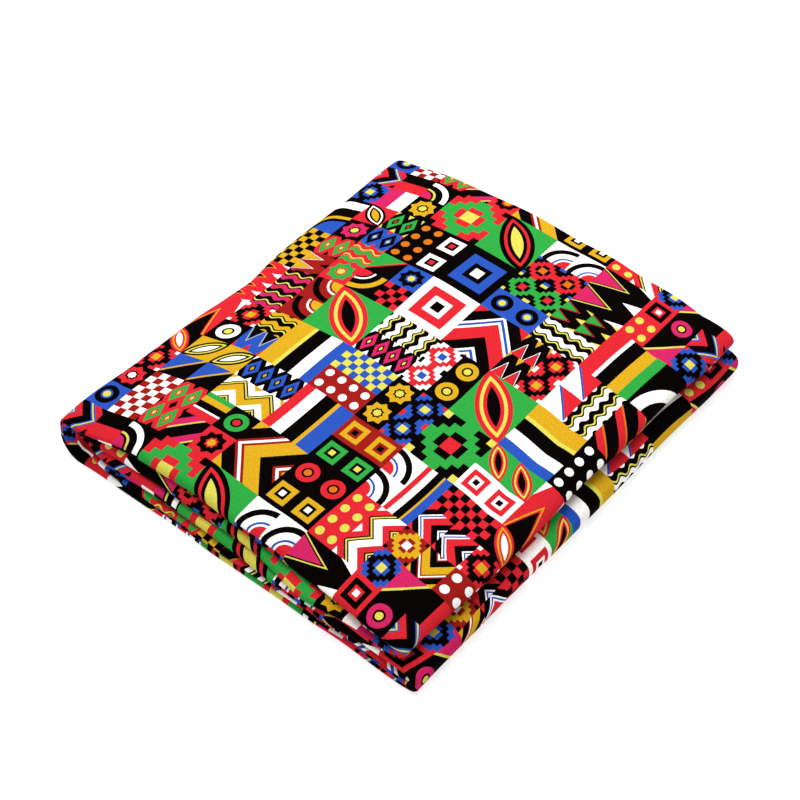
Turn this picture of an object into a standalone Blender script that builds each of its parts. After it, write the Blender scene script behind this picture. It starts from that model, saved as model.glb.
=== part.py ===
# A six-yard length of wax print cotton, folded up as it is sold and stored.
#
# The cloth is folded lengthwise in four, which gives a long strip. Both ends of the strip are turned in to
# the middle, and it is then shut like a book. So two half-height folds lie one over the other along one
# side, the turns, and one full-height fold runs along the side opposite, the spine. The folded edges of the
# strip show as bands along the other two sides.
#
# The strip is itself many layers thick, and its near edge is one round roll. It is built as two nested
# stretches: the outer one, which shows all over, and the inner one for the layers that it hides, which shows
# only at the edges. The strip lies in four passes, one on the other, so each side shows four rolls.
#
# +X runs across the folds from the spine to the turns, +Y runs along them, and the cloth rests on Z = 0.
# Lengths are in metres.

import collections
import math

import bmesh
import bpy
import numpy as np

STRIP_WIDTH = 0.2875  # cloth 1.15 m wide, folded in four
LENGTH = 0.2655  # from the spine to the lower turn
GAP = 0.0003  # between neighbouring layers
CROWN = 0.030  # how much thicker the pile is in its middle, as a share of its height

SPINE_DEPTH = 0.014  # how far the spine's fold reaches past the flat stretches
SPINE_FULLNESS = 3.3  # 2 gives an ellipse, and more a squarer fold
UPPER_TURN_FULLNESS = 2.2
LOWER_TURN_FULLNESS = 2.8
UPPER_TURN_DEPTH = 0.023
LOWER_TURN_DEPTH = 0.015
UPPER_TURN_INSET = 0.0080  # the upper turn stops short of the lower one
HOLLOW = 0.0011  # half the height of the hollow inside a turn
HOLLOW_LENGTH = 0.026

NEAR_SAG = 0.0062  # how far the top sinks at its near edge, -Y
NEAR_SHOULDER = 0.034  # how wide the sinking margin is
FAR_SAG = 0.0036
FAR_SHOULDER = 0.036
SAG_SHARE = 1.5  # the higher this power, the less the lower layers sink with the top

RIPPLE = 0.0005  # small waves along the folded edges
RIPPLE_LENGTH = 0.071
RIPPLE_SHIFT = 1.7  # radians from one pass's waves to the next pass's

# The four passes from the surface up. slide is how far a pass has slipped towards +Y at the spine, a quarter,
# a half and three quarters of the way, and the turns.
Pass = collections.namedtuple("Pass", "name slide")
PASSES = (
    Pass("underside", (-0.0018, -0.0014, -0.0016, -0.0014, -0.0018)),
    Pass("lower inside", (0.0010, 0.0038, 0.0042, 0.0022, -0.0004)),
    Pass("upper inside", (0.0014, 0.0080, 0.0082, 0.0046, 0.0002)),
    Pass("top", (0.0020, 0.0116, 0.0114, 0.0078, 0.0004)),
)
SLIDE_PLACES = np.array((0.0, 0.25, 0.5, 0.75, 1.0))

# Two layers make a pass, one of each stretch. Their thickness changes evenly from the spine to the turns.
# near and far are how far their folded edges lie inside those of the pass.
Layer = collections.namedtuple("Layer", "at_spine at_turns near far")
LAYERS = (
    Layer(0.0041, 0.0042, 0.0000, 0.0000),
    Layer(0.0028, 0.0034, 0.0016, 0.0021),
    Layer(0.0036, 0.0026, 0.0000, 0.0014),
    Layer(0.0040, 0.0042, 0.0000, 0.0000),
    Layer(0.0042, 0.0038, 0.0000, 0.0004),
    Layer(0.0034, 0.0030, 0.0000, 0.0018),
    Layer(0.0026, 0.0034, 0.0000, 0.0026),
    Layer(0.0044, 0.0042, 0.0000, 0.0000),
)
LAYERS_IN_PASS = 2

# How far each fold lies inside its straight line, along Y. The spine is pinched in near its middle.
FoldLine = collections.namedtuple("FoldLine", "y spine upper_turn lower_turn")
FOLD_LINES = (
    FoldLine(-0.150, -0.0006, 0.0000, -0.0020),
    FoldLine(-0.115, 0.0016, 0.0014, 0.0000),
    FoldLine(-0.070, 0.0050, -0.0006, 0.0004),
    FoldLine(-0.030, 0.0056, 0.0002, 0.0008),
    FoldLine(0.002, 0.0084, 0.0012, 0.0002),
    FoldLine(0.034, 0.0042, 0.0000, 0.0006),
    FoldLine(0.085, 0.0026, 0.0010, 0.0010),
    FoldLine(0.120, 0.0014, -0.0018, 0.0004),
    FoldLine(0.150, -0.0004, 0.0002, 0.0012),
)

# A stretch runs from its hidden end, turned in under the top, up round the upper turn and back over, down
# round the spine, beneath, and up round the lower turn to its other hidden end. first, over, beneath and last
# are its layers in that order, and tuck is how far the hidden ends reach into the spine's fold.
# roll is the part of a pass's near roll that it makes, from the outer face to the inner one.
Stretch = collections.namedtuple("Stretch", "name first over beneath last tuck roll colour")
STRETCHES = (
    Stretch("outer_stretch", 4, 7, 0, 3, 0.0028, (0.00, 0.55), (0.60, 0.03, 0.05)),
    Stretch("inner_stretch", 5, 6, 1, 2, 0.0000, (0.59, 1.00), (0.03, 0.09, 0.45)),
)
LOWER_HOLLOW, BOOK_MIDDLE, UPPER_HOLLOW = 2, 4, 6  # the layers that lie just above these places

PASS_STEPS = 11  # sections along each flat pass
TURN_STEPS = 9  # steps round a turn
SPINE_STEPS = 11  # steps round the spine
# Points across the strip, on each of its faces, between the margins that slide with a layer's edges.
MARGIN_POINTS = 3
ACROSS = (-0.126, -0.104, -0.075, -0.045, -0.018, 0.002, 0.022, 0.050, 0.085, 0.115, 0.137)
EDGE_STEPS = 4  # round each of its folded edges
ROLL_DEPTH = 0.0034  # how deep the roll of a pass's near edge is
TIP_STEP = 0.0012  # a hidden end is rounded off in steps of this length
TIP_SHARES = (0.85, 0.45)  # and its thickness there, as a share of the whole

SHARP_ANGLE = math.radians(50)
ROUGHNESS = 0.75

Flat = collections.namedtuple("Flat", "layer outside_up way reach share")
Bend = collections.namedtuple("Bend", "above below angle")


def smooth_through(knots, values, at):
    # A curve through the table's points whose slope changes smoothly.
    at = np.clip(at, knots[0], knots[-1])
    slopes = np.gradient(values, knots)
    i = np.clip(np.searchsorted(knots, at) - 1, 0, len(knots) - 2)
    step = knots[i + 1] - knots[i]
    u = (at - knots[i]) / step
    from_start = (1 + 2 * u) * (1 - u) ** 2 * values[i] + u * (1 - u) ** 2 * step * slopes[i]
    to_end = u**2 * (3 - 2 * u) * values[i + 1] - u**2 * (1 - u) * step * slopes[i + 1]
    return from_start + to_end


def inset(fold_name, y):
    knots = np.array([line.y for line in FOLD_LINES])
    return smooth_through(knots, np.array([getattr(line, fold_name) for line in FOLD_LINES]), y)


def spine_start(y):
    # Where the flat passes end and the spine's fold begins.
    return -LENGTH / 2 + inset("spine", y) + SPINE_DEPTH


def turn_start(layer, y):
    # Where the flat passes end and the turn of this layer's half of the book begins.
    if layer < BOOK_MIDDLE:
        return LENGTH / 2 - inset("lower_turn", y) - LOWER_TURN_DEPTH
    return LENGTH / 2 - UPPER_TURN_INSET - inset("upper_turn", y) - UPPER_TURN_DEPTH


def share_of_way(x):
    return np.clip(x / LENGTH + 0.5, 0, 1)


def thickness(layer, x):
    way = share_of_way(x)
    return (1 - way) * LAYERS[layer].at_spine + way * LAYERS[layer].at_turns


def pile(count, x):
    # The height of so many layers in an even pile, with the gap above each of them.
    return sum((thickness(layer, x) + GAP for layer in range(count)), np.zeros_like(x))


def settled(height, x, y):
    # The pile is thickest in its middle, and its upper layers sink towards the near and far sides.
    across = np.clip(2 * y / STRIP_WIDTH, -1, 1)
    along = np.clip(2 * x / LENGTH, -1, 1)
    from_middle = y - smooth_through(SLIDE_PLACES, np.array(PASSES[-1].slide), share_of_way(x))
    near = np.clip(1 - (STRIP_WIDTH / 2 + from_middle) / NEAR_SHOULDER, 0, None) ** 2
    far = np.clip(1 - (STRIP_WIDTH / 2 - from_middle) / FAR_SHOULDER, 0, None) ** 2
    crowned = height * (1 + CROWN * (1 - across**2) * (1 - along**2))
    return crowned - (NEAR_SAG * near + FAR_SAG * far) * (height / pile(len(LAYERS), x)) ** SAG_SHARE


def faces_of(layer, x, y):
    # The heights of a layer's underside and of its top. The layers part round the hollow inside a turn.
    bottom = pile(layer, x)
    top = bottom + thickness(layer, x)
    hollow = HOLLOW * np.clip(1 - (turn_start(layer, y) - x) / HOLLOW_LENGTH, 0, 1) ** 2
    if layer in (LOWER_HOLLOW, UPPER_HOLLOW):
        bottom = bottom + hollow
    if layer + 1 in (LOWER_HOLLOW, UPPER_HOLLOW):
        top = top - hollow
    return settled(bottom, x, y), settled(top, x, y)


def flat_section(station, y):
    start = spine_start(y) - station.reach
    x = start + station.way * (turn_start(station.layer, y) - start)
    bottom, top = faces_of(station.layer, x, y)
    return ((x, top), (x, bottom)) if station.outside_up else ((x, bottom), (x, top))


def bent_section(station, y):
    # A fold's faces are nested superellipses round one centre, from the layer above to the layer below.
    if station.above - station.below > BOOK_MIDDLE:
        start, side, middle, outermost = spine_start(y), -1, BOOK_MIDDLE, len(LAYERS) - 1
        depth, fullness = SPINE_DEPTH, SPINE_FULLNESS
    elif station.above > BOOK_MIDDLE:
        start, side, middle, outermost = turn_start(station.above, y), 1, UPPER_HOLLOW, len(LAYERS) - 1
        depth, fullness = UPPER_TURN_DEPTH, UPPER_TURN_FULLNESS
    else:
        start, side, middle, outermost = turn_start(station.above, y), 1, LOWER_HOLLOW, BOOK_MIDDLE - 1
        depth, fullness = LOWER_TURN_DEPTH, LOWER_TURN_FULLNESS
    sine, cosine = math.sin(station.angle), math.cos(station.angle)
    size = (sine**fullness + abs(cosine) ** fullness) ** (1 / fullness)
    centre = settled(pile(middle, start) - GAP / 2, start, y)
    upper_bottom, upper_top = faces_of(station.above, start, y)
    lower_bottom, lower_top = faces_of(station.below, start, y)
    nested = pile(outermost + 1, start) - pile(station.above + 1, start)
    walls = (
        (upper_top, lower_bottom, nested),
        (upper_bottom, lower_top, nested + thickness(station.above, start)),
    )
    section = []
    for over, under, nesting in walls:
        half_height = over - centre if cosine > 0 else centre - under
        x = start + side * (depth - nesting) * sine / size
        section.append((x, centre + half_height * cosine / size))
    return section


def edges_of(layer, way):
    # Where a layer's near and far folded edges lie along Y, with the small waves of its pass.
    number = layer // LAYERS_IN_PASS
    wave = RIPPLE * math.sin(2 * math.pi * way * LENGTH / RIPPLE_LENGTH + RIPPLE_SHIFT * number)
    slide = float(smooth_through(SLIDE_PLACES, np.array(PASSES[number].slide), way)) + wave
    near = slide - STRIP_WIDTH / 2 + LAYERS[layer].near
    far = slide + STRIP_WIDTH / 2 - LAYERS[layer].far
    return np.array([near, far])


def station_edges(station):
    if isinstance(station, Flat):
        return edges_of(station.layer, station.way)
    place = 0 if station.above - station.below > BOOK_MIDDLE else 1
    lowered = 0.5 - 0.5 * math.cos(station.angle)
    return (1 - lowered) * edges_of(station.above, place) + lowered * edges_of(station.below, place)


def passes(stretch):
    # The stations of a stretch, from one hidden end to the other.
    ways = np.linspace(0, 1, PASS_STEPS)
    turning = np.linspace(math.pi, 0, TURN_STEPS + 1)[1:-1]
    tips = [(stretch.tuck + TIP_STEP * (i + 1), share) for i, share in enumerate(TIP_SHARES)]
    found = [Flat(stretch.first, False, 0, reach, share) for reach, share in reversed(tips)]
    found += [Flat(stretch.first, False, way, stretch.tuck, 1) for way in ways]
    found += [Bend(stretch.over, stretch.first, angle) for angle in turning]
    found += [Flat(stretch.over, True, way, 0, 1) for way in ways[::-1]]
    spine = np.linspace(0, math.pi, SPINE_STEPS + 1)[1:-1]
    found += [Bend(stretch.over, stretch.beneath, angle) for angle in spine]
    found += [Flat(stretch.beneath, False, way, 0, 1) for way in ways]
    found += [Bend(stretch.last, stretch.beneath, angle) for angle in turning]
    found += [Flat(stretch.last, True, way, stretch.tuck, 1) for way in ways[::-1]]
    found += [Flat(stretch.last, True, 0, reach, share) for reach, share in tips]
    return found


def section_faces(station, y):
    return flat_section(station, y) if isinstance(station, Flat) else bent_section(station, y)


def folded_edge(depth, start, end):
    # Points round part of a half-round edge, from start to end as shares of its height: how far each lies
    # inside the edge, and its share of the way from the stretch's outer face to its inner one.
    angles = np.linspace(math.acos(1 - 2 * start), math.acos(1 - 2 * end), EDGE_STEPS + 1)
    return depth * (1 - np.sin(angles)), (0.5 - 0.5 * np.cos(angles) - start) / (end - start)


def ring(station, roll):
    # The closed section of a stretch: its outer face, far folded edge, inner face and near folded edge.
    # roll is the part of its pass's near roll that the stretch makes.
    near, far = station_edges(station)
    outer, inner = section_faces(station, np.array([near, far]))
    half_thickness = 0.5 * np.hypot(outer[0] - inner[0], outer[1] - inner[1]).mean()
    near_inset, near_inwards = folded_edge(ROLL_DEPTH, *roll)
    far_inset, far_inwards = folded_edge(half_thickness, 0, 1)
    faces = []
    for end in (0, -1):
        near_margin = np.linspace(near + near_inset[end], ACROSS[0], MARGIN_POINTS)
        far_margin = np.linspace(ACROSS[-1], far - far_inset[end], MARGIN_POINTS)
        faces.append(np.concatenate([near_margin, ACROSS[1:-1], far_margin]))
    far_edge, near_edge = far - far_inset[1:-1], near + near_inset[1:-1]
    y = np.concatenate([faces[0], far_edge, faces[1][::-1], near_edge[::-1]])
    on_outer, on_inner = np.zeros(len(faces[0])), np.ones(len(faces[1]))
    inwards = np.concatenate([on_outer, far_inwards[1:-1], on_inner, near_inwards[1:-1][::-1]])
    inwards = 0.5 + (inwards - 0.5) * getattr(station, "share", 1)
    outer, inner = section_faces(station, y)
    x = outer[0] + (inner[0] - outer[0]) * inwards
    z = outer[1] + (inner[1] - outer[1]) * inwards
    return np.column_stack([x, y, z])


def close_end(shape, row):
    # Closed in short steps from the outer face to the inner one, because the end bends with the fold.
    edge = EDGE_STEPS - 1
    count = len(row) // 2 - edge
    outer, far_edge = row[:count], row[count : count + edge]
    inner, near_edge = row[count + edge : -edge][::-1], row[-edge:][::-1]
    for i in range(count - 1):
        shape.faces.new((outer[i], outer[i + 1], inner[i + 1], inner[i]))
    shape.faces.new((outer[-1], *far_edge, inner[-1]))
    shape.faces.new((outer[0], *near_edge, inner[0]))


def lofted(name, rings):
    shape = bmesh.new()
    rows = [[shape.verts.new(point) for point in points] for points in rings]
    for this, following in zip(rows, rows[1:]):
        for i in range(len(this)):
            shape.faces.new((this[i - 1], this[i], following[i], following[i - 1]))
    close_end(shape, rows[0])
    close_end(shape, rows[-1])
    bmesh.ops.recalc_face_normals(shape, faces=shape.faces)
    mesh = bpy.data.meshes.new(name)
    shape.to_mesh(mesh)
    shape.free()
    mesh.shade_smooth()
    mesh.set_sharp_from_angle(angle=SHARP_ANGLE)
    return mesh


def printed_cotton(name, colour):
    material = bpy.data.materials.new(name)
    material.use_nodes = True
    shader = material.node_tree.nodes["Principled BSDF"]
    shader.inputs["Base Color"].default_value = (*colour, 1)
    shader.inputs["Roughness"].default_value = ROUGHNESS
    shader.inputs["Metallic"].default_value = 0
    return material


def main():
    for obj in list(bpy.data.objects):
        bpy.data.objects.remove(obj)
    collection = bpy.data.collections.new("wax_print_fabric")
    bpy.context.scene.collection.children.link(collection)
    rings = {
        stretch: [ring(station, stretch.roll) for station in passes(stretch)] for stretch in STRETCHES
    }
    points = np.concatenate([points for sections in rings.values() for points in sections])
    low, high = points.min(axis=0), points.max(axis=0)
    resting_point = np.array([(low[0] + high[0]) / 2, (low[1] + high[1]) / 2, low[2]])
    for stretch, sections in rings.items():
        mesh = lofted(stretch.name, [section - resting_point for section in sections])
        mesh.materials.append(printed_cotton(f"printed_cotton_{stretch.name}", stretch.colour))
        collection.objects.link(bpy.data.objects.new(stretch.name, mesh))


main()
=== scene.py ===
# Six yards of wax print cotton, folded up as it is sold and stored, on a pale floor.
# The cloth is folded into a strip, both ends of the strip are turned in to the middle, and it is shut
# like a book. +X runs from the spine to the turns, +Y along the folds, and the cloth rests on Z = 0.
# Lengths are in metres.

import math

import bpy
import numpy as np
from mathutils import Matrix, Vector


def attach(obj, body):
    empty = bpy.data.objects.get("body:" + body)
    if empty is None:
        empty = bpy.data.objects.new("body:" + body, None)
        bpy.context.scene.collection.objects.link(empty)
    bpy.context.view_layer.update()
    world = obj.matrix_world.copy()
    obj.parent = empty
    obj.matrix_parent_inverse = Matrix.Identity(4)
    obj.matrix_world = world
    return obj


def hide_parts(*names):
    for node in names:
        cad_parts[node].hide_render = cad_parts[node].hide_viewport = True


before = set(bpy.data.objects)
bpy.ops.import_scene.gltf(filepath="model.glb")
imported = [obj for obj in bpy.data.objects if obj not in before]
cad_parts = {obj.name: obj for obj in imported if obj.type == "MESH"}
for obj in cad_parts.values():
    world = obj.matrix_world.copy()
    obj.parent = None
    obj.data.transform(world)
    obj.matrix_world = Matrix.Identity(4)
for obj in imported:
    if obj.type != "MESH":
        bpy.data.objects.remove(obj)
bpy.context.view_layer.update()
print("frame loaded:", sorted(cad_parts))


# The folded form, the same one that the solids have

bundle = {
    "stripWidth": 0.2875,  # cloth 1.15 m wide, folded in four
    "length": 0.2655,  # from the spine to the lower turn
    "gap": 0.0003,  # between neighbouring layers
    "crown": 0.030,  # how much thicker the pile is in its middle, as a share
    "spineDepth": 0.014,  # how far a fold reaches past the flat passes
    "spineFullness": 3.3,  # 2 gives an ellipse, and more a squarer fold
    "upperTurnDepth": 0.023,
    "upperTurnFullness": 2.2,
    "upperTurnInset": 0.0080,  # the upper turn stops short of the lower one
    "lowerTurnDepth": 0.015,
    "lowerTurnFullness": 2.8,
    "hollow": 0.0011,  # half the height of the hollow inside a turn
    "hollowLength": 0.026,
    "nearSag": 0.0062,  # how far the top sinks at an edge, and how wide the sinking margin is
    "nearShoulder": 0.034,
    "farSag": 0.0036,
    "farShoulder": 0.036,
    "sagShare": 1.5,  # the higher this power, the less the lower layers sink with the top
    "restingPoint": (0.00072, 0.00519, 0.0),  # comes to the origin, as it does in the solids
    # each layer's thickness at the spine and at the turns, from the floor up
    "layers": ((0.0041, 0.0042), (0.0028, 0.0034), (0.0036, 0.0026), (0.0040, 0.0042),
               (0.0042, 0.0038), (0.0034, 0.0030), (0.0026, 0.0034), (0.0044, 0.0042)),
    # how far each fold lies inside its straight line: y, spine, upper turn, lower turn
    "foldLines": ((-0.150, 0.0006, 0.0062, 0.0004), (-0.138, 0.0014, 0.0038, 0.0006),
                  (-0.115, 0.0029, 0.0016, 0.0006), (-0.070, 0.0050, -0.0006, 0.0008),
                  (-0.030, 0.0054, 0.0002, 0.0010), (0.002, 0.0073, 0.0012, 0.0008),
                  (0.034, 0.0038, 0.0000, 0.0014), (0.085, 0.0026, 0.0010, 0.0020),
                  (0.120, 0.0014, -0.0018, 0.0017), (0.150, -0.0006, 0.0002, 0.0028)),
}

# The strip lies in four passes, each of two layers. slide is how far a pass has slipped towards +Y at
# the spine, a quarter, a half and three quarters of the way, and the turns. near and far are how far
# its edges stand out from an even width, in mm, at each tenth of the way.
passes = {
    "underside": {
        "outer": 0, "inner": 1, "outsideUp": False,
        "slide": (-0.0018, -0.0014, -0.0016, -0.0014, -0.0018),
        "near": (-0.8, -0.8, -1.6, -1.2, -1.3, -1.5, -0.8, -1.6, -1.5, -1.2, -1.6),
        "far": (0.4, 1.0, -0.6, 0.8, 1.6, 0.2, -0.8, 0.6, 1.4, -0.4, 0.0)},
    "lowerInside": {
        "outer": 3, "inner": 2, "outsideUp": True,
        "slide": (0.0010, 0.0038, 0.0042, 0.0022, -0.0004),
        "near": (-6.0, -1.0, -0.2, 0.2, -0.2, 1.2, 1.8, 1.7, 2.6, -1.4, -1.6),
        "far": (-2.0, -0.6, 0.8, -0.4, -1.4, 0.6, 1.2, -0.6, 0.2, 1.0, 0.4)},
    "upperInside": {
        "outer": 4, "inner": 5, "outsideUp": False,
        "slide": (0.0014, 0.0080, 0.0082, 0.0046, 0.0002),
        "near": (-4.0, -1.6, 0.6, 0.2, 1.6, 0.8, -0.6, 1.8, 3.0, -0.8, -1.6),
        "far": (-1.6, 0.4, -0.8, 0.6, -0.2, -1.6, -0.6, 0.8, -0.4, 0.6, 0.4)},
    "top": {
        "outer": 7, "inner": 6, "outsideUp": True,
        "slide": (0.0020, 0.0116, 0.0114, 0.0078, 0.0004),
        "near": (-1.0, -0.2, -0.2, 0.8, 1.0, 0.4, 1.0, 0.2, -1.8, -2.2, -3.6),
        "far": (0.7, 0.3, -0.7, -0.6, -0.5, -0.2, -1.1, 0.0, 0.5, 1.6, 0.8)},
}
slidePlaces = np.array((0.0, 0.25, 0.5, 0.75, 1.0))
tenths = np.linspace(0, 1, 11)

# side is a fold's side of the bundle, middle the layer just above its middle, and outermost its last
# one. nearCorner is how full its upper and its lower half are at its near end.
folds = {
    "spine": {"above": "top", "below": "underside", "side": -1, "middle": 4, "outermost": 7,
              "nearCorner": (6.5, 1.8)},
    "upperTurn": {"above": "top", "below": "upperInside", "side": 1, "middle": 6, "outermost": 7,
                  "nearCorner": (2.4, 2.2)},
    "lowerTurn": {"above": "lowerInside", "below": "underside", "side": 1, "middle": 2, "outermost": 3,
                  "nearCorner": (2.6, 4.6)},
}
bookMiddle = folds["spine"]["middle"]
hollowMiddles = (folds["lowerTurn"]["middle"], folds["upperTurn"]["middle"])
cornerReach = {"from": 0.085, "over": 0.060}
ripple = {"size": 0.0005, "length": 0.071, "shift": 1.7}  # small waves along the folded edges


def smoothThrough(knots, values, at):
    at = np.clip(at, knots[0], knots[-1])
    slopes = np.gradient(values, knots)
    i = np.clip(np.searchsorted(knots, at) - 1, 0, len(knots) - 2)
    step = knots[i + 1] - knots[i]
    u = (at - knots[i]) / step
    fromStart = (1 + 2 * u) * (1 - u) ** 2 * values[i] + u * (1 - u) ** 2 * step * slopes[i]
    return fromStart + u**2 * (3 - 2 * u) * values[i + 1] - u**2 * (1 - u) * step * slopes[i + 1]


def easeThrough(table, at):
    # like smoothThrough, but level at each point of the table, so that it never goes past one
    places, values = (np.array(column, float) for column in zip(*table))
    i = int(np.clip(np.searchsorted(places, at) - 1, 0, len(places) - 2))
    u = float(np.clip((at - places[i]) / (places[i + 1] - places[i]), 0, 1))
    return values[i] + (values[i + 1] - values[i]) * u * u * (3 - 2 * u)


def foldInset(column, y):
    lines = np.array(bundle["foldLines"])
    return smoothThrough(lines[:, 0], lines[:, column], y)


def spineStart(y):
    return -bundle["length"] / 2 + foldInset(1, y) + bundle["spineDepth"]


def turnStart(upper, y):
    if upper:
        return bundle["length"] / 2 - bundle["upperTurnInset"] - foldInset(2, y) - bundle["upperTurnDepth"]
    return bundle["length"] / 2 - foldInset(3, y) - bundle["lowerTurnDepth"]


def shareOfWay(x):
    return np.clip(x / bundle["length"] + 0.5, 0, 1)


def thickness(layer, x):
    way = shareOfWay(x)
    atSpine, atTurns = bundle["layers"][layer]
    return (1 - way) * atSpine + way * atTurns


def pile(count, x):
    # the height of so many layers, with the gap above each of them
    return sum((thickness(layer, x) + bundle["gap"] for layer in range(count)), np.zeros_like(x))


def settled(height, x, y):
    # the pile is thickest in its middle, and its upper layers sink towards the near and far sides
    across = np.clip(2 * y / bundle["stripWidth"], -1, 1)
    along = np.clip(2 * x / bundle["length"], -1, 1)
    fromMiddle = y - smoothThrough(slidePlaces, np.array(passes["top"]["slide"]), shareOfWay(x))
    near = np.clip(1 - (bundle["stripWidth"] / 2 + fromMiddle) / bundle["nearShoulder"], 0, None) ** 2
    far = np.clip(1 - (bundle["stripWidth"] / 2 - fromMiddle) / bundle["farShoulder"], 0, None) ** 2
    crowned = height * (1 + bundle["crown"] * (1 - across**2) * (1 - along**2))
    sag = bundle["nearSag"] * near + bundle["farSag"] * far
    return crowned - sag * (height / pile(len(bundle["layers"]), x)) ** bundle["sagShare"]


def faceHeight(layer, upperFace, x, y):
    # the layers part round the hollow inside a turn
    height = pile(layer, x) + (thickness(layer, x) if upperFace else 0)
    start = turnStart(layer >= bookMiddle, y)
    hollow = bundle["hollow"] * np.clip(1 - (start - x) / bundle["hollowLength"], 0, 1) ** 2
    if layer in hollowMiddles and not upperFace:
        height = height + hollow
    if layer + 1 in hollowMiddles and upperFace:
        height = height - hollow
    return settled(height, x, y)


def foldFullness(name, upperHalf, y):
    # towards -Y the spine's upper corner and the lower turn's lower one get sharper
    atNear = np.clip((-y - cornerReach["from"]) / cornerReach["over"], 0, 1) ** 2
    there = folds[name]["nearCorner"][0 if upperHalf else 1]
    return bundle[name + "Fullness"] * (1 - atNear) + there * atNear


def wallPoint(station, y, share):
    # a point between the strip's outer face, share 0, and its inner face, share 1
    if "way" in station:
        this = passes[station["pass"]]
        start = spineStart(y) - station["reach"]
        end = turnStart(this["outer"] >= bookMiddle, y)
        xOuter = xInner = start + station["way"] * (end - start)
        zOuter = faceHeight(this["outer"], this["outsideUp"], xOuter, y)
        zInner = faceHeight(this["inner"], not this["outsideUp"], xInner, y)
    else:
        name = station["fold"]
        fold = folds[name]
        over, under = passes[fold["above"]], passes[fold["below"]]
        start = spineStart(y) if name == "spine" else turnStart(name == "upperTurn", y)
        sine, cosine = math.sin(station["angle"]), math.cos(station["angle"])
        fullness = foldFullness(name, cosine > 0, y)
        size = (sine**fullness + abs(cosine) ** fullness) ** (1 / fullness)
        centre = settled(pile(fold["middle"], start) - bundle["gap"] / 2, start, y)
        inside = pile(fold["outermost"] + 1, start) - pile(over["inner"], start)
        found = []
        for role, nested in (("outer", 0), ("inner", inside)):
            high = faceHeight(over[role], role == "outer", start, y)
            low = faceHeight(under[role], role == "inner", start, y)
            halfHeight = high - centre if cosine > 0 else centre - low
            x = start + fold["side"] * (bundle[name + "Depth"] - nested) * sine / size
            found.append((x, centre + halfHeight * cosine / size))
        (xOuter, zOuter), (xInner, zInner) = found
    return xOuter + (xInner - xOuter) * share, zOuter + (zInner - zOuter) * share


def edgesOf(name, way):
    # where a pass's near and far edges lie along Y
    shift = ripple["shift"] * list(passes).index(name)
    wave = ripple["size"] * math.sin(2 * math.pi * way * bundle["length"] / ripple["length"] + shift)
    middle = float(smoothThrough(slidePlaces, np.array(passes[name]["slide"]), way)) + wave
    near, far = (float(smoothThrough(tenths, np.array(passes[name][side]), way)) / 1000
                 for side in ("near", "far"))
    return middle - bundle["stripWidth"] / 2 - near, middle + bundle["stripWidth"] / 2 + far


def atStation(station, read):
    # read(pass, way) at a station; round a fold it goes smoothly from the pass above to the one below
    if "way" in station:
        return read(station["pass"], station["way"])
    place = 0 if station["fold"] == "spine" else 1
    lowered = 0.5 - 0.5 * math.cos(station["angle"])
    above, below = (np.array(read(folds[station["fold"]][side], place)) for side in ("above", "below"))
    return (1 - lowered) * above + lowered * below


# The sheets: thin cloth on that form

sheetValues = {
    "clothThickness": 0.00045,  # one layer of 0.37 mm, a little fuller at the folds
    "passSteps": 60,
    "spineSteps": 22,
    "turnSteps": 16,
    "tuck": 0.0028,  # how far the hidden ends reach into the spine's fold
    "tips": ((0.0012, 0.85), (0.0024, 0.45), (0.0028, 0.12)),  # how far past that, and how thick there
    "crowding": 0.10,  # how much closer together a face's points are at its edges
    "printAnchor": 0.14,  # the print lies square this far along the cloth from the middle of the spine
}
outerValues = {
    "facePoints": 64,
    "rollSteps": 12,
    "nearReturn": 0.008,  # how far a rolled edge goes back in under itself
    "nearReturnSteps": 3,
    "farRollSteps": 8,
    "farRollDepth": 0.0021,
    "farReturn": 0.030,
    "farReturnSteps": 4,
    "farFoldShare": 0.48,  # how deep in its pass the far edge's return lies
    "printShift": (0.0, 0.0185),  # where the print starts on its flat cloth
}
innerValues = {
    "faceShare": 0.985,  # its face lies next to the cloth that it rests on
    "facePoints": 26,
    "rollSteps": 8,
    "rollDepth": 0.0018,
    "deeper": 0.05,  # its near edge starts this much deeper in the pass than the outer one's roll ends
    "latest": 0.80,  # and as if that roll ended here, where it ends deeper
    "nearReturn": 0.016,
    "farReturn": 0.024,
    "returnSteps": 3,
    "farFoldShare": 0.54,
    "farSetBack": 0.0018,  # how far its far edge stays back, and the waves in that: size, rate, shift
    "farWaves": ((0.0006, 61, 0), (0.0004, 143, 1)),
    "printShift": (0.131, 0.087),
}
# a roll whose back half is deeper than its front is at its outermost sooner
rollShape = {"power": 0.4, "least": 0.7, "most": 1.8}

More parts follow.
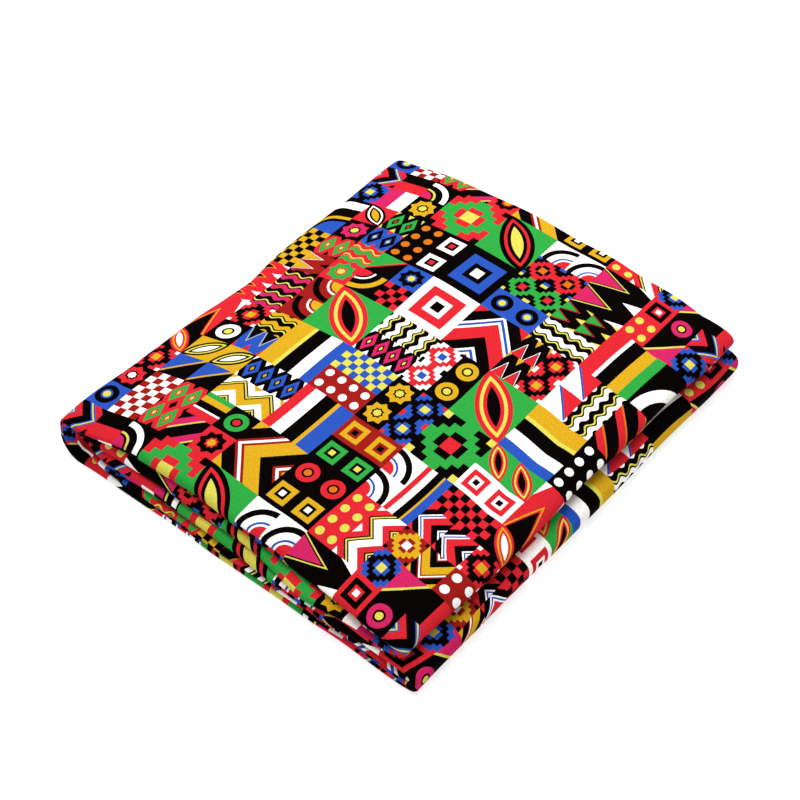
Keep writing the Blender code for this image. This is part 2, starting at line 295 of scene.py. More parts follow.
# Where the outer cloth's roll ends, as a share of the pass, how deep its two halves are, the first one
# at the outer face, and how far the inner cloth's edge stays back, each by the way from the spine to
# the turns. The roll is open at the ends of the folds, and all along the underside.
edgePlan = {
    "top": {
        "rollEnd": ((0, 0.78), (0.06, 0.70), (0.20, 0.98), (0.76, 0.98), (0.86, 0.66), (1, 0.74)),
        "frontDepth": ((0, 0.0014), (0.20, 0.0034), (0.80, 0.0034), (1, 0.0016)),
        "backDepth": ((0, 0.0072), (0.10, 0.0034), (0.80, 0.0034), (1, 0.0020)),
        "setBack": ((0, 0.0056), (0.05, 0.0036), (0.15, 0.0150), (0.78, 0.0150), (0.86, 0.0010),
                    (1, 0.0040))},
    "upperInside": {
        "rollEnd": ((0, 0.98), (0.90, 0.98), (0.96, 0.66), (1, 0.66)),
        "frontDepth": ((0, 0.0034), (0.90, 0.0034), (1, 0.0016)),
        "backDepth": ((0, 0.0034), (0.90, 0.0034), (1, 0.0024)),
        "setBack": ((0, 0.0150), (0.90, 0.0150), (0.97, 0.0030), (1, 0.0034))},
    "lowerInside": {
        "rollEnd": ((0, 0.98), (0.90, 0.98), (0.96, 0.66), (1, 0.74)),
        "frontDepth": ((0, 0.0034), (0.90, 0.0034), (1, 0.0014)),
        "backDepth": ((0, 0.0034), (0.90, 0.0034), (1, 0.0016)),
        "setBack": ((0, 0.0150), (0.92, 0.0150), (0.98, 0.0024), (1, 0.0020))},
    "underside": {
        "rollEnd": ((0, 0.60), (0.12, 0.44), (0.6, 0.47), (0.9, 0.50), (1, 0.62)),
        "frontDepth": ((0, 0.0014), (0.1, 0.0016), (1, 0.0014)),
        "backDepth": ((0, 0.0070), (0.1, 0.0016), (1, 0.0014)),
        "setBack": ((0, 0.0050), (0.08, 0.0020), (0.2, 0.0012), (0.5, 0.0004), (0.8, 0.0010),
                    (1, 0.0012))},
}

# Soft troughs (negative) and ridges, listed one by one: from, through and to, each as (s, y) in mm, then
# depth and width in mm. s follows the cloth from the middle of the spine, over the top if positive and
# beneath if negative. Beneath, a crease shows only where it goes round a fold.
creases = (
    ((-6, 4), (20, 2), (62, 16), -1.0, 9), ((4, -22), (18, -20), (44, -30), -0.5, 8),
    ((2, 40), (24, 44), (50, 38), -0.4, 10), ((6, -74), (22, -80), (52, -70), 0.4, 10),
    ((18, 92), (34, 96), (78, 108), -0.45, 9), ((40, -118), (96, -104), (150, -112), -0.35, 12),
    ((90, 60), (130, 40), (172, 52), -0.3, 15), ((120, -40), (160, -62), (214, -50), -0.3, 14),
    ((205, 110), (232, 96), (262, 84), -0.55, 9), ((214, 20), (240, 6), (276, 10), -0.4, 8),
    ((222, -60), (246, -66), (280, -58), -0.45, 8), ((196, -96), (226, -108), (268, -104), 0.4, 11),
    ((230, 132), (252, 120), (284, 116), -0.5, 7), ((100, 128), (140, 118), (176, 126), -0.35, 12),
    ((-30, -90), (-70, -84), (-120, -96), -0.4, 12), ((-20, 60), (-52, 50), (-96, 62), -0.45, 10),
    ((-200, 90), (-232, 84), (-268, 96), -0.5, 9), ((-190, -50), (-230, -60), (-272, -52), -0.45, 9),
)
creaseLine = {"from": 0.04, "to": 0.96, "points": 14, "fading": 0.7}
swells = {"seed": 7, "count": 9, "size": 0.00016, "shortest": 0.045, "longest": 0.120}
foldRelief = {"share": 0.6, "sink": 0.0001}  # round a fold the cloth is tighter, and its relief lower


def flatStation(name, way, reach=0.0, share=1.0):
    return {"pass": name, "way": way, "reach": reach, "share": share}


def allStations():
    # the sections of the strip, from one hidden end to the other
    ways = np.linspace(0, 1, sheetValues["passSteps"] + 1)
    turning = np.linspace(math.pi, 0, sheetValues["turnSteps"] + 1)[1:-1]
    spine = np.linspace(0, math.pi, sheetValues["spineSteps"] + 1)[1:-1]
    tuck, tips = sheetValues["tuck"], sheetValues["tips"]
    found = [flatStation("upperInside", 0, tuck + past, share) for past, share in reversed(tips)]
    found += [flatStation("upperInside", way, tuck) for way in ways]
    found += [{"fold": "upperTurn", "angle": angle, "share": 1.0} for angle in turning]
    found += [flatStation("top", way) for way in ways[::-1]]
    found += [{"fold": "spine", "angle": angle, "share": 1.0} for angle in spine]
    found += [flatStation("underside", way) for way in ways]
    found += [{"fold": "lowerTurn", "angle": angle, "share": 1.0} for angle in turning]
    found += [flatStation("lowerInside", way, tuck) for way in ways[::-1]]
    found += [flatStation("lowerInside", 0, tuck + past, share) for past, share in tips]
    return found


stations = allStations()


def pathLengths():
    # the length along the cloth's outer face at each station, from the middle of the spine
    middle = np.array([[float(v) for v in wallPoint(station, np.float64(0.0), 0.0)]
                       for station in stations])
    run = np.concatenate([[0], np.cumsum(np.hypot(*np.diff(middle, axis=0).T))])
    spine = [i for i, station in enumerate(stations) if station.get("fold") == "spine"]
    return run[spine[len(spine) // 2]] - run


along = pathLengths()


def reliefOf(s, y):
    total = np.zeros_like(y)
    for start, middle, end, depth, width in creases:
        start, middle, end = (np.array(point) / 1000 for point in (start, middle, end))
        best = np.zeros_like(y)
        for t in np.linspace(creaseLine["from"], creaseLine["to"], creaseLine["points"]):
            point = (1 - t) ** 2 * start + 2 * t * (1 - t) * middle + t**2 * end
            distance = ((s - point[0]) ** 2 + (y - point[1]) ** 2) / (width / 1000) ** 2
            best = np.maximum(best, math.sin(math.pi * t) ** creaseLine["fading"] * np.exp(-distance))
        total += depth / 1000 * best
    rng = np.random.default_rng(swells["seed"])
    for _ in range(swells["count"]):
        angle, phase = rng.uniform(0, math.pi), rng.uniform(0, 2 * math.pi)
        length = rng.uniform(swells["shortest"], swells["longest"])
        turn = 2 * math.pi * (s * math.cos(angle) + y * math.sin(angle)) / length
        total += swells["size"] * np.sin(turn + phase)
    return total


def rollPoints(edge, inwards, front, back, start, end, steps):
    # Round a folded edge from share start to share end; inwards is +1 at the near edge and -1 at the
    # far one. front and back are the depths of its two halves.
    angles = np.linspace(0, math.pi, steps + 1)
    depths = np.where(angles < math.pi / 2, front, back)
    power = np.clip((back / front) ** rollShape["power"], rollShape["least"], rollShape["most"])
    turned = (0.5 - 0.5 * np.cos(angles)) ** power
    return edge + inwards * depths * (1 - np.sin(angles)), start + (end - start) * turned


def sectionPoints(station, y, share):
    # the tips of the hidden ends are thinner than the strip
    share = 0.5 + (share - 0.5) * station["share"]
    return share, *wallPoint(station, y, share)


def withRelief(station, s, y, share, x, z):
    if station.get("pass") != "underside":  # that pass is pressed flat on the floor
        xOut, zOut = wallPoint(station, y, np.zeros_like(y))
        xIn, zIn = wallPoint(station, y, np.ones_like(y))
        size = np.hypot(xOut - xIn, zOut - zIn) + 1e-9  # never quite zero
        lift = reliefOf(s, y) * np.clip(1 - share, 0, 1)
        if "fold" in station:
            lift = lift * foldRelief["share"] - foldRelief["sink"]
        x, z = x + (xOut - xIn) / size * lift, z + (zOut - zIn) / size * lift
    # the cloth's own thickness goes outwards, down to the floor
    return x, np.maximum(z, sheetValues["clothThickness"])


def facePlaces(start, end, count):
    # closer together towards the edges, where the cloth bends most
    t = np.linspace(0, 1, count)
    t = t - sheetValues["crowding"] * np.sin(2 * math.pi * t) / math.pi
    return start + (end - start) * t


def planned(station, part):
    return float(atStation(station, lambda name, way: easeThrough(edgePlan[name][part], way)))


def outerSection(station, s):
    # across the strip: the far edge's return and roll, the face, and the near edge's roll and return
    near, far = atStation(station, edgesOf)
    end, front, behind = (planned(station, part) for part in ("rollEnd", "frontDepth", "backDepth"))
    farDepth, farFold = outerValues["farRollDepth"], outerValues["farFoldShare"]
    farY, farShare = rollPoints(far, -1, farDepth, farDepth, farFold, 0, outerValues["farRollSteps"])
    nearY, nearShare = rollPoints(near, 1, front, behind, 0, end, outerValues["rollSteps"])
    back = np.linspace(far - outerValues["farReturn"], farY[0], outerValues["farReturnSteps"] + 1)[:-1]
    face = facePlaces(farY[-1], nearY[0], outerValues["facePoints"])[1:-1]
    home = np.linspace(nearY[-1], near + outerValues["nearReturn"], outerValues["nearReturnSteps"] + 1)[1:]
    y = np.concatenate([back, farY, face, nearY, home])
    share = np.concatenate([np.full(len(back), farFold), farShare, np.zeros(len(face)), nearShare,
                            np.full(len(home), end)])
    faceSpan = (len(back) + len(farY) - 1, len(back) + len(farY) + len(face))
    share, x, z = sectionPoints(station, y, share)
    x, z = withRelief(station, s, y, share, x, z)
    return np.column_stack([x, y, z]), faceSpan


def innerSection(station, s):
    # from the near edge to the far one, and turned round at the end, to run as the outer cloth does
    near, far = atStation(station, edgesOf)
    end, setBack = planned(station, "rollEnd"), planned(station, "setBack")
    start = min(end, innerValues["latest"]) + innerValues["deeper"]
    waves = (size * math.sin(s * rate + shift) for size, rate, shift in innerValues["farWaves"])
    farEdge = far - sum(waves, innerValues["farSetBack"])
    depth, steps = innerValues["rollDepth"], innerValues["rollSteps"]
    faceShare, farFold = innerValues["faceShare"], innerValues["farFoldShare"]
    nearY, nearShare = rollPoints(near + setBack, 1, depth, depth, start, faceShare, steps)
    farY, farShare = rollPoints(farEdge, -1, depth, depth, faceShare, farFold, steps)
    returns = innerValues["returnSteps"] + 1
    home = np.linspace(near + setBack + innerValues["nearReturn"], nearY[0], returns)[:-1]
    face = facePlaces(nearY[-1], farY[0], innerValues["facePoints"])[1:-1]
    back = np.linspace(farY[-1], far - innerValues["farReturn"], returns)[1:]
    y = np.concatenate([home, nearY, face, farY, back])
    share = np.concatenate([np.full(len(home), start), nearShare, np.full(len(face), faceShare),
                            farShare, np.full(len(back), farFold)])
    faceSpan = (len(home) + len(nearY) - 1, len(home) + len(nearY) + len(face))
    share, x, z = sectionPoints(station, y, share)
    return np.column_stack([x, y, z])[::-1], (len(y) - 1 - faceSpan[1], len(y) - 1 - faceSpan[0])


def addSheet(name, section, shift, outwards):
    rings, spans = zip(*[section(station, s) for station, s in zip(stations, along)])
    points = np.array(rings) - np.array(bundle["restingPoint"])
    rows, count = points.shape[:2]
    # The print is laid out on the flat cloth. Along the strip it follows the outer face, so a roll
    # takes the place that its pass has at the roll's edge. Across, it follows the cloth round the
    # edges.
    low, high = spans[0]
    stepU = np.linalg.norm(np.diff(points[:, low:high + 1], axis=0), axis=2)
    u = np.vstack([np.zeros(stepU.shape[1]), np.cumsum(stepU, axis=0)])
    anchor = int(np.argmin(np.abs(along - sheetValues["printAnchor"])))
    u = u - u[anchor]
    u = np.hstack([np.repeat(u[:, :1], low, axis=1), u, np.repeat(u[:, -1:], count - 1 - high, axis=1)])
    stepV = np.linalg.norm(np.diff(points, axis=1), axis=2)
    v = np.hstack([np.zeros((rows, 1)), np.cumsum(stepV, axis=1)])
    v = v - v[:, [(low + high) // 2]]
    mesh = bpy.data.meshes.new(name)
    index = np.arange(rows * count).reshape(rows, count)
    corners = [index[:-1, :-1], index[:-1, 1:], index[1:, 1:], index[1:, :-1]]
    faces = np.stack(corners, axis=-1).reshape(-1, 4)
    mesh.from_pydata(points.reshape(-1, 3), [], (faces[:, ::-1] if outwards else faces).tolist())
    layer = mesh.uv_layers.new(name="flatCloth")
    loops = np.zeros(len(mesh.loops), np.int32)
    mesh.loops.foreach_get("vertex_index", loops)
    flat = np.column_stack([u.ravel() + shift[0], v.ravel() + shift[1]])[loops]
    layer.data.foreach_set("uv", flat.astype(np.float32).ravel())
    mesh.shade_smooth()
    sheet = bpy.data.objects.new(name, mesh)
    bpy.context.scene.collection.objects.link(sheet)
    shell = sheet.modifiers.new("shell", "SOLIDIFY")
    shell.thickness = sheetValues["clothThickness"]
    shell.offset = 1 if outwards else -1
    bpy.ops.object.select_all(action="DESELECT")
    bpy.context.view_layer.objects.active = sheet
    sheet.select_set(True)
    bpy.ops.object.modifier_apply(modifier="shell")
    sheet.select_set(False)
    size = (float(np.ptp(v, axis=1).mean()), float(np.ptp(u, axis=0).mean()))
    print(f"{name}: {len(sheet.data.polygons)} faces, flat {size[0]:.3f} x {size[1]:.3f} m")
    return sheet, size


outerCloth, outerFlat = addSheet("outer_cloth", outerSection, outerValues["printShift"], True)
innerCloth, innerFlat = addSheet("inner_cloth", innerSection, innerValues["printShift"], False)


# The print: a patchwork of plain geometric motifs, drawn at random for each patch

palette = {
    "gold": "#C99B1D", "red": "#CA242E", "black": "#050202", "white": "#F4F2EE", "yellow": "#CEC64F",
    "green": "#2C993D", "blue": "#274DAA", "magenta": "#C1235B", "maroon": "#901A16",
    "orange": "#C86A17",
}

# ground, main, second, light and accent colour of each colouring
colourings = (
    "black red gold white green", "black gold white yellow blue", "black green yellow red gold",
    "black blue white gold red", "black white red yellow magenta", "black magenta white yellow green",
    "red black white gold blue", "blue black red yellow gold", "white red black blue orange",
    "red green black yellow gold", "maroon gold black white red", "black red blue orange white",
)
tonesEach = 5

printValues = {
    "tile": 0.037,  # one patch of the print
    "repeat": 7,  # tiles each way before the print repeats, 259 mm
    "splitAcross": 0.60,  # a tile is split in two each way where its draw is above this
    "splitUpwards": 0.56,
    "seed": 19.5,
}
clothFinish = {
    "weaveRepeat": 0.00066,  # two threads of a plain weave, whose threads lie about 0.33 mm apart
    "weaveHeight": 0.35,
    "slubScale": 1500.0,  # uneven threads, about 0.7 mm from one to the next
    "slubDetail": 2.0,
    "bumpStrength": 0.35,
    "bumpDistance": 0.00012,
    "mottleScale": 950.0,  # threads take the dye unevenly at 0.33 mm; drawn at about 1 mm, so it shows
    "mottleDetail": 3.0,
    "mottleFrom": (0.3, 0.7),
    "mottleShade": (0.80, 1.10),
    "roughness": 0.72,
    "ior": 1.5,
    "specular": 0.01,
}


def toLinear(code):
    channels = [int(code[i : i + 2], 16) / 255 for i in (1, 3, 5)]
    return tuple(c / 12.92 if c <= 0.04045 else ((c + 0.055) / 1.055) ** 2.4 for c in channels) + (1.0,)


def addNode(tree, kind, inputs=(), stops=(), **settings):
    node = tree.nodes.new(kind)
    for name, value in settings.items():
        setattr(node, name, value)
    for place, value in inputs.items() if isinstance(inputs, dict) else enumerate(inputs):
        if isinstance(value, bpy.types.NodeSocket):
            tree.links.new(value, node.inputs[place])
        else:
            node.inputs[place].default_value = value
    if stops:
        ramp = node.color_ramp
        ramp.interpolation = "CONSTANT"
        while len(ramp.elements) > 1:
            ramp.elements.remove(ramp.elements[-1])
        for position, colour in stops:
            stop = ramp.elements.new(position) if position else ramp.elements[0]
            stop.position, stop.color = position, colour
    return node


# Each motif's shape, a value of its patch that is named in the steps below, and the tones that begin
# at each height of that value. Whole tiles take only the first half of the motifs, and split ones
# take any.
motifs = (
    ("square", ((0, 2), (0.09, 0), (0.18, 1), (0.34, 0))),
    ("fan", ((0, 1), (0.26, 0), (0.31, 3), (0.36, 0), (0.52, 2), (0.66, 0))),
    ("stepped", ((0, 3), (0.12, 0), (0.24, 1), (0.49, 0), (0.74, 2))),
    ("chevrons", ((0, 1), (0.42, 0), (0.50, 3), (0.58, 0), (0.66, 2))),
    ("yUp", ((0, 1), (0.28, 3), (0.35, 0), (0.60, 2), (0.82, 4))),  # ribbons
    ("flags", ((0, 1), (0.41, 0), (0.44, 3), (0.47, 0), (0.84, 2))),
    ("lozenges", ((0, 3), (0.10, 0), (0.20, 1), (0.45, 0), (0.80, 2))),
    ("leaf", ((0, 2), (0.57, 0), (0.61, 3), (0.65, 0), (0.705, 1))),
    ("star", ((0, 3), (0.10, 0), (0.15, 1), (0.31, 0))),
    ("radius", ((0, 3), (0.12, 0), (0.18, 1), (0.36, 0))),
    ("waves", ((0, 1), (0.38, 0), (0.50, 3), (0.62, 0))),
    ("checks", ((0, 0), (0.25, 3))),
    ("dots", ((0, 3), (0.28, 0))),
    ("halves", ((0, 1), (0.44, 3), (0.49, 0))),
    ("slants", ((0, 0), (0.38, 1), (0.72, 3), (0.80, 0))),
    ("yUp", ((0, 1), (0.50, 2))),  # bars
)
toneUnit = 8  # tones go through the ramps as eighths

# Kinds of node in the steps below. Any other word there is the operation of a Math node.
stepKinds = {
    "pair": ("ShaderNodeCombineXYZ", {}),
    "chance": ("ShaderNodeTexWhiteNoise", {"noise_dimensions": "2D"}),
    "parts": ("ShaderNodeSeparateColor", {}),
    "stops": ("ShaderNodeValToRGB", {}),
}

# Each step has the names of what it gives, its kind and its inputs. First come the tile that a point
# is in, how that tile is split, and what is drawn for each patch.
patchSteps = (
    ("across", "MULTIPLY", "u", 1 / printValues["tile"]),
    ("upwards", "MULTIPLY", "v", 1 / printValues["tile"]),
    ("tileU", "FLOOR", "across"), ("tileV", "FLOOR", "upwards"),
    ("wrapU", "FLOORED_MODULO", "tileU", printValues["repeat"]),
    ("wrapV", "FLOORED_MODULO", "tileV", printValues["repeat"]),
    ("seedU", "ADD", "wrapU", printValues["seed"]), ("seedV", "ADD", "wrapV", printValues["seed"]),
    ("tilePair", "pair", "seedU", "seedV"), ("tileValue tileChance", "chance", "tilePair"),
    ("drawAcross drawUpwards", "parts", "tileChance"),
    ("splitU", "GREATER_THAN", "drawAcross", printValues["splitAcross"]),
    ("splitV", "GREATER_THAN", "drawUpwards", printValues["splitUpwards"]),
    ("split", "MAXIMUM", "splitU", "splitV"), ("scale", "ADD", "split", 1.0),
    ("scaleU", "ADD", "splitU", 1.0), ("scaleV", "ADD", "splitV", 1.0),
    ("wideU", "MULTIPLY", "across", "scaleU"), ("wideV", "MULTIPLY", "upwards", "scaleV"),
    ("cellU", "FLOOR", "wideU"), ("cellV", "FLOOR", "wideV"),
    ("cellsU", "MULTIPLY", "scaleU", printValues["repeat"]),
    ("cellsV", "MULTIPLY", "scaleV", printValues["repeat"]),
    ("cellWrapU", "FLOORED_MODULO", "cellU", "cellsU"),
    ("cellWrapV", "FLOORED_MODULO", "cellV", "cellsV"),
    ("cellSeedU", "MULTIPLY_ADD", "splitU", 31.0, "cellWrapU"),  # so that split tiles draw anew
    ("cellSeedV", "MULTIPLY_ADD", "splitV", 47.0, "cellWrapV"),
    ("cellPair", "pair", "cellSeedU", "cellSeedV"), ("cellValue cellChance", "chance", "cellPair"),
    ("motifDraw colourDraw turn", "parts", "cellChance"),
    ("choices", "MULTIPLY", "scale", len(motifs) / 2),
    ("motifScaled", "MULTIPLY", "motifDraw", "choices"), ("motif", "FLOOR", "motifScaled"),
    ("fineU", "MULTIPLY", "across", "scale"), ("fineV", "MULTIPLY", "upwards", "scale"),
)

# Then come x and y from the middle of the motif, turned and mirrored by chance.
placeSteps = (
    ("offU", "FRACT", "fineU"), ("offV", "FRACT", "fineV"),
    ("xPlain", "SUBTRACT", "offU", 0.5), ("yPlain", "SUBTRACT", "offV", 0.5),
    ("turned", "GREATER_THAN", "turn", 0.5), ("apart", "SUBTRACT", "yPlain", "xPlain"),
    ("xTurned", "MULTIPLY_ADD", "apart", "turned", "xPlain"),
    ("yKept", "MULTIPLY", "apart", "turned"), ("yTurned", "SUBTRACT", "yPlain", "yKept"),
    ("turnAgain", "MULTIPLY", "turn", 4.0), ("turnPart", "FRACT", "turnAgain"),
    ("flip", "GREATER_THAN", "turnPart", 0.5), ("flipSign", "MULTIPLY_ADD", "flip", -2.0, 1.0),
    ("x", "MULTIPLY", "xTurned", "flipSign"),
    ("turnMore", "MULTIPLY", "turn", 2.0), ("turnRest", "FRACT", "turnMore"),
    ("flop", "GREATER_THAN", "turnRest", 0.5), ("flopSign", "MULTIPLY_ADD", "flop", -2.0, 1.0),
    ("y", "MULTIPLY", "yTurned", "flopSign"),
    ("ax", "ABSOLUTE", "x"), ("ay", "ABSOLUTE", "y"), ("xUp", "ADD", "x", 0.5), ("yUp", "ADD", "y", 0.5),
    ("xUpSq", "MULTIPLY", "xUp", "xUp"), ("xDown", "SUBTRACT", "x", 0.5), ("yDown", "SUBTRACT", "y", 0.5),
    ("xTwo", "MULTIPLY", "xUp", 2.0), ("yTwo", "MULTIPLY", "yUp", 2.0),  # two small motifs each way
    ("xTwoPart", "FRACT", "xTwo"), ("yTwoPart", "FRACT", "yTwo"),
    ("xTwoOff", "SUBTRACT", "xTwoPart", 0.5), ("yTwoOff", "SUBTRACT", "yTwoPart", 0.5),
)

# Last come the shapes.
shapeSteps = (
    ("square", "MAXIMUM", "ax", "ay"),
    ("xSq", "MULTIPLY", "x", "x"), ("radiusSq", "MULTIPLY_ADD", "y", "y", "xSq"),
    ("radius", "SQRT", "radiusSq"),
    ("sides", "ADD", "ax", "ay"), ("tilted", "MULTIPLY", "sides", 0.707),  # the square on its corner
    ("star", "MINIMUM", "square", "tilted"),
    ("arrow", "ADD", "y", "ax"), ("arrows", "MULTIPLY", "arrow", 1.25), ("chevrons", "FRACT", "arrows"),
    ("xFour", "MULTIPLY", "xUp", 4.0), ("yFour", "MULTIPLY", "yUp", 4.0),
    ("xRow", "FLOOR", "xFour"), ("yRow", "FLOOR", "yFour"), ("rowSum", "ADD", "xRow", "yRow"),
    ("halfSum", "MULTIPLY", "rowSum", 0.5), ("checks", "FRACT", "halfSum"),
    ("axEight", "MULTIPLY", "ax", 8.0), ("ayEight", "MULTIPLY", "ay", 8.0),
    ("axStep", "FLOOR", "axEight"), ("ayStep", "FLOOR", "ayEight"),
    ("stairs", "ADD", "axStep", "ayStep"), ("stepped", "DIVIDE", "stairs", 8.0),
    ("cornerSq", "MULTIPLY_ADD", "yUp", "yUp", "xUpSq"), ("corner", "SQRT", "cornerSq"),
    ("fan", "DIVIDE", "corner", 1.42),  # 1 in the opposite corner
    ("xTwoSq", "MULTIPLY", "xTwoOff", "xTwoOff"), ("dotSq", "MULTIPLY_ADD", "yTwoOff", "yTwoOff", "xTwoSq"),
    ("dots", "SQRT", "dotSq"),
    ("xDouble", "MULTIPLY", "x", 2.0), ("xDoublePart", "FRACT", "xDouble"),
    ("xDoubleOff", "SUBTRACT", "xDoublePart", 0.5), ("xDoubleAway", "ABSOLUTE", "xDoubleOff"),
    ("lozenges", "ADD", "xDoubleAway", "ay"),
    ("diagonal", "ADD", "xUp", "yUp"), ("halves", "MULTIPLY", "diagonal", 0.5),
    ("slants", "FRACT", "diagonal"),
    ("yDownSq", "MULTIPLY", "yDown", "yDown"), ("firstSq", "ADD", "xUpSq", "yDownSq"),
    ("first", "SQRT", "firstSq"), ("xDownSq", "MULTIPLY", "xDown", "xDown"),
    ("secondSq", "MULTIPLY_ADD", "yUp", "yUp", "xDownSq"), ("other", "SQRT", "secondSq"),
    ("lens", "MAXIMUM", "first", "other"), ("leaf", "DIVIDE", "lens", 1.42),
    ("xTwoAway", "ABSOLUTE", "xTwoOff"),
    ("peak", "MULTIPLY_ADD", "xTwoAway", -1.44, 0.72),  # two peaks, 0.72 of the patch high
    ("overPeak", "SUBTRACT", "yUp", "peak"), ("flags", "MULTIPLY_ADD", "overPeak", 0.5, 0.5),
    ("swing", "MULTIPLY", "x", 4 * math.pi), ("sway", "SINE", "swing"),
    ("swayed", "MULTIPLY_ADD", "sway", 0.07, "yUp"),  # the waves' height
    ("swayedTwo", "MULTIPLY", "swayed", 2.0), ("waves", "FRACT", "swayedTwo"),
)


def inkSteps():
    # the tone of each patch's own motif, its place among the inks of both sets, and those two inks
    half = len(colourings) // 2
    steps = []
    for number, (shape, tones) in enumerate(motifs):
        stops = [(position, (tone / toneUnit,) * 3 + (1.0,)) for position, tone in tones]
        steps += [("motifTone", "stops", shape, stops), ("chosen", "COMPARE", "motif", float(number), 0.4),
                  ("tone", "MULTIPLY_ADD", "chosen", "motifTone", "tone")]
    steps += [
        ("colourScaled", "MULTIPLY", "colourDraw", float(len(colourings))),
        ("colouring", "FLOOR", "colourScaled"), ("second", "GREATER_THAN", "colouring", half - 0.5),
        ("set", "MULTIPLY_ADD", "second", -float(half), "colouring"),
        ("toneWhole", "MULTIPLY_ADD", "tone", float(toneUnit), 0.5),
        ("stop", "MULTIPLY_ADD", "set", float(tonesEach), "toneWhole"),
        ("position", "DIVIDE", "stop", float(tonesEach * half)),
    ]
    for name, group in (("firstInk", colourings[:half]), ("secondInk", colourings[half:])):
        inks = " ".join(group).split()
        stops = [(i / len(inks), toLinear(palette[ink])) for i, ink in enumerate(inks)]
        steps.append((name, "stops", "position", stops))
    return steps


threads = 2 * math.pi / clothFinish["weaveRepeat"]
weaveSteps = (
    ("warpAngle", "MULTIPLY", "u", threads), ("weftAngle", "MULTIPLY", "v", threads),
    ("warp", "SINE", "warpAngle"), ("weft", "SINE", "weftAngle"), ("weave", "MULTIPLY", "warp", "weft"),
    ("thread", "MULTIPLY_ADD", "weave", clothFinish["weaveHeight"], "slub"),
)


def calenderedWaxPrintCotton():
    # Plain-weave cotton, roller printed in bright dyes and calendered: flat even colours with crisp
    # edges, a fine mottle and threads that hardly show, and a dull face with next to no gloss, so that
    # the black stays deep in soft light from all round.
    material = bpy.data.materials.new("calenderedWaxPrintCotton")
    material.use_nodes = True
    tree = material.node_tree
    shader = tree.nodes["Principled BSDF"]
    place = addNode(tree, "ShaderNodeUVMap", uv_map="flatCloth").outputs[0]
    flat = addNode(tree, "ShaderNodeSeparateXYZ", [place])
    slub = addNode(tree, "ShaderNodeTexNoise", {
        "Vector": place, "Scale": clothFinish["slubScale"], "Detail": clothFinish["slubDetail"]})
    made = {"u": flat.outputs[0], "v": flat.outputs[1], "slub": slub.outputs[0], "tone": 0.0}
    for names, kind, *inputs in (*patchSteps, *placeSteps, *shapeSteps, *inkSteps(), *weaveSteps):
        stops = inputs.pop() if kind == "stops" else ()
        inputs = [made[value] if isinstance(value, str) else value for value in inputs]
        nodeKind, settings = stepKinds.get(kind, ("ShaderNodeMath", {"operation": kind}))
        node = addNode(tree, nodeKind, inputs, stops, **settings)
        made.update(zip(names.split(), node.outputs))
    mottle = addNode(tree, "ShaderNodeTexNoise", {
        "Vector": place, "Scale": clothFinish["mottleScale"], "Detail": clothFinish["mottleDetail"]})
    mottleFrom, mottleShade = clothFinish["mottleFrom"], clothFinish["mottleShade"]
    shade = addNode(tree, "ShaderNodeMapRange", {
        "Value": mottle.outputs[0], "From Min": mottleFrom[0], "From Max": mottleFrom[1],
        "To Min": mottleShade[0], "To Max": mottleShade[1]})
    colourA, colourB, mixedColour = 6, 7, 2  # where a Mix node has its colours
    ink = addNode(tree, "ShaderNodeMix", {
        "Factor": made["second"], colourA: made["firstInk"], colourB: made["secondInk"]}, data_type="RGBA")
    inked = addNode(tree, "ShaderNodeMix", {
        "Factor": 1.0, colourA: ink.outputs[mixedColour], colourB: shade.outputs[0]},
        data_type="RGBA", blend_type="MULTIPLY")
    bump = addNode(tree, "ShaderNodeBump", {
        "Height": made["thread"], "Strength": clothFinish["bumpStrength"],
        "Distance": clothFinish["bumpDistance"]})
    tree.links.new(inked.outputs[mixedColour], shader.inputs["Base Color"])
    tree.links.new(bump.outputs[0], shader.inputs["Normal"])
    shader.inputs["Roughness"].default_value = clothFinish["roughness"]
    shader.inputs["IOR"].default_value = clothFinish["ior"]
    shader.inputs["Specular IOR Level"].default_value = clothFinish["specular"]
    return material


cotton = calenderedWaxPrintCotton()
for sheet, flat, node, rests in ((outerCloth, outerFlat, "outer_stretch", ["inner_cloth"]),
                                 (innerCloth, innerFlat, "inner_stretch", ["outer_cloth"])):
    sheet.data.materials.append(cotton)
    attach(sheet, "root")
    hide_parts(node)
print("cloth printed")


# Floor, light and camera

studio = {"floorSize": 6.0, "floorColour": "#A8A8A8", "floorRoughness": 0.9, "floorGlow": 0.72,
          "domeStrength": 0.62, "keyPower": 32.0, "keySize": 1.4, "keyPlace": (-0.35, 0.45, 1.5)}
view = {"focal": 1811.7, "azimuth": 43.56, "elevation": 46.13, "roll": -3.53, "distance": 1.0362,
        "shiftAcross": -0.00251, "shiftUp": 0.00635, "pixels": 800, "sensor": 36.0, "clip": (0.05, 20)}
white = (1, 1, 1, 1)

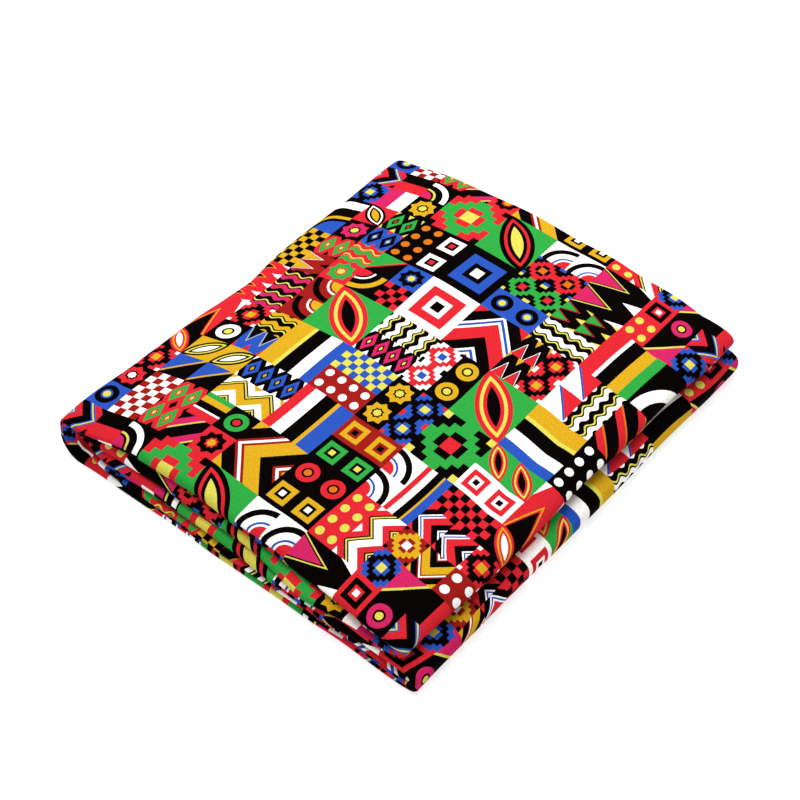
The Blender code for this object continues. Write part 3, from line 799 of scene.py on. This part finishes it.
bpy.ops.object.select_all(action="DESELECT")
bpy.ops.mesh.primitive_plane_add(size=studio["floorSize"], location=(0, 0, 0))
floor = bpy.context.object
floor.name = "floor"
paper = bpy.data.materials.new("mattWhitePaper")  # a dull sheet, lit from beneath until it is white
paper.use_nodes = True
paperInputs = paper.node_tree.nodes["Principled BSDF"].inputs
paperInputs["Base Color"].default_value = toLinear(studio["floorColour"])
paperInputs["Roughness"].default_value = studio["floorRoughness"]
paperInputs["Emission Color"].default_value = white
paperInputs["Emission Strength"].default_value = studio["floorGlow"]
floor.data.materials.append(paper)

world = bpy.data.worlds.new("softBox")
bpy.context.scene.world = world
world.use_nodes = True
dome = world.node_tree.nodes["Background"].inputs
dome["Color"].default_value = white
dome["Strength"].default_value = studio["domeStrength"]
bpy.context.scene.view_settings.view_transform = "Standard"

key = bpy.data.lights.new("key", "AREA")
key.energy = studio["keyPower"]
key.size = studio["keySize"]
keyLight = bpy.data.objects.new("key", key)
bpy.context.scene.collection.objects.link(keyLight)
keyLight.location = studio["keyPlace"]
keyLight.rotation_mode = "QUATERNION"
keyLight.rotation_quaternion = (-Vector(studio["keyPlace"])).to_track_quat("-Z", "Y")

azimuth, elevation, roll = (math.radians(view[name]) for name in ("azimuth", "elevation", "roll"))
level = math.cos(elevation)
back = Vector((math.sin(azimuth) * level, -math.cos(azimuth) * level, math.sin(elevation)))
right = Vector((math.cos(azimuth), math.sin(azimuth), 0))
up = back.cross(right)
camera = bpy.data.cameras.new("camera")
camera.sensor_width = view["sensor"]
camera.lens = view["focal"] / view["pixels"] * view["sensor"]
camera.clip_start, camera.clip_end = view["clip"]
cameraObject = bpy.data.objects.new("camera", camera)
bpy.context.scene.collection.objects.link(cameraObject)
pictureRight = math.cos(roll) * right + math.sin(roll) * up
pictureUp = math.cos(roll) * up - math.sin(roll) * right
turned = Matrix((pictureRight, pictureUp, back))
stand = back * view["distance"] + right * view["shiftAcross"] + up * view["shiftUp"]
stand = stand - Vector(bundle["restingPoint"])
cameraObject.matrix_world = Matrix.Translation(stand) @ turned.transposed().to_4x4()
bpy.context.scene.camera = cameraObject
print("floor, light and camera set")
